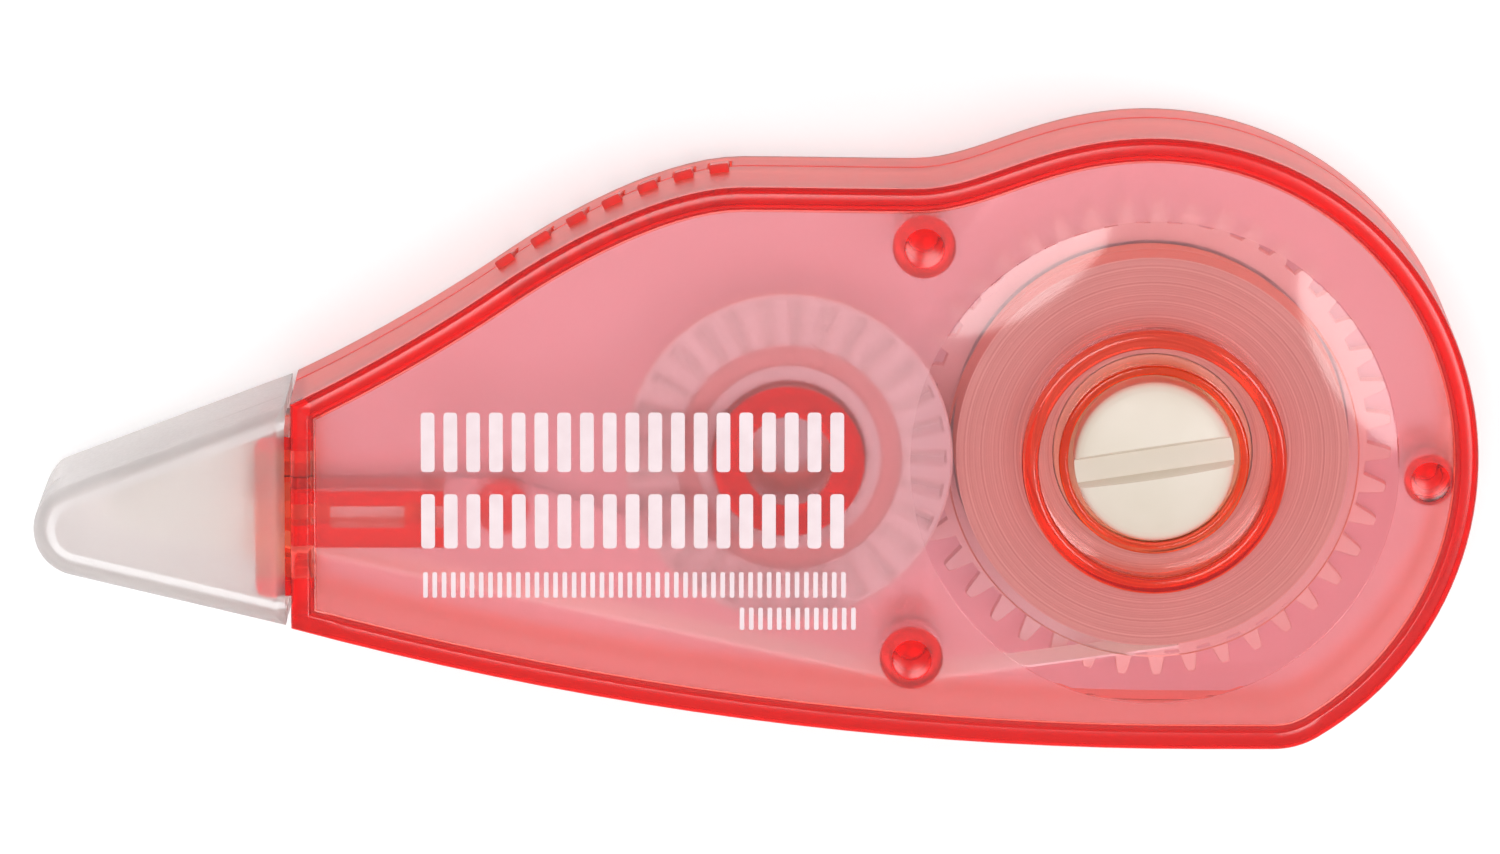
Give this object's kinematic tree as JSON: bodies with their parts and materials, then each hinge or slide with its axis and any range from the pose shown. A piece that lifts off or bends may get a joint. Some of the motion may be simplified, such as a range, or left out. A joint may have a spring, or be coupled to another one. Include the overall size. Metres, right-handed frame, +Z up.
{
  "type": "correction tape roller",
  "caption": "Hand-held correction tape roller in a translucent red casing with geared reels, an ivory tension knob and a frosted push-on nose cap.",
  "frame": {"origin": "centre of the base, on the surface the roller lies on", "axes": "+X from the nose to the round end, +Z up through the thickness towards the front panel with the knob, +Y towards the finger grips"},
  "size_m": [0.084, 0.036, 0.013],
  "materials": {
    "casing_red": "translucent red polystyrene, fine-frosted panels, polished walls and window",
    "cap_frost": "frosted clear polypropylene",
    "head_white": "satin white plastic",
    "gear_natural": "natural milky polyacetal",
    "clutch_rubber": "matte black rubber",
    "tape_white": "matte white correction film on its backing",
    "flange_clear": "polished clear plastic",
    "knob_ivory": "satin ivory plastic",
    "liner": "translucent silicone-coated backing",
    "flange_natural": "milky translucent plastic",
    "print_white": null
  },
  "bodies": {
    "casing": {"front_casing": "casing_red", "back_casing": "casing_red", "applicator_head": "head_white", "tape_web": "tape_white"},
    "cap": {"nose_cap": "cap_frost"},
    "supply_drive": {"supply_gear": "gear_natural"},
    "tape_spool": {"tape_core": "gear_natural", "clutch_ring": "clutch_rubber", "tape_roll": "tape_white", "supply_flange": "flange_clear", "tension_knob": "knob_ivory"},
    "take_up_reel": {"take_up_gear": "gear_natural", "take_up_pack": "liner", "take_up_flange": "flange_natural"}
  },
  "joints": [
    {"name": "cap_slide", "type": "slide", "parent": "casing", "child": "cap", "axis": [-1, 0, 0], "range_m": [0, 0.03]},
    {"name": "supply_spin", "type": "hinge", "parent": "casing", "child": "supply_drive", "pos_m": [0.0232, -0.0011, 0.0023], "axis": [0, 0, 1], "continuous": true},
    {"name": "clutch_slip", "type": "hinge", "parent": "supply_drive", "child": "tape_spool", "pos_m": [0.0232, -0.0011, 0.005], "axis": [0, 0, 1], "continuous": true},
    {"name": "take_up_spin", "type": "hinge", "parent": "casing", "child": "take_up_reel", "pos_m": [0.00195, -0.0011, 0.0023], "axis": [0, 0, 1], "continuous": true}
  ],
  "couplings": [
    {"joint": "take_up_spin", "follows": "supply_spin", "ratio": -1.72}
  ]
}
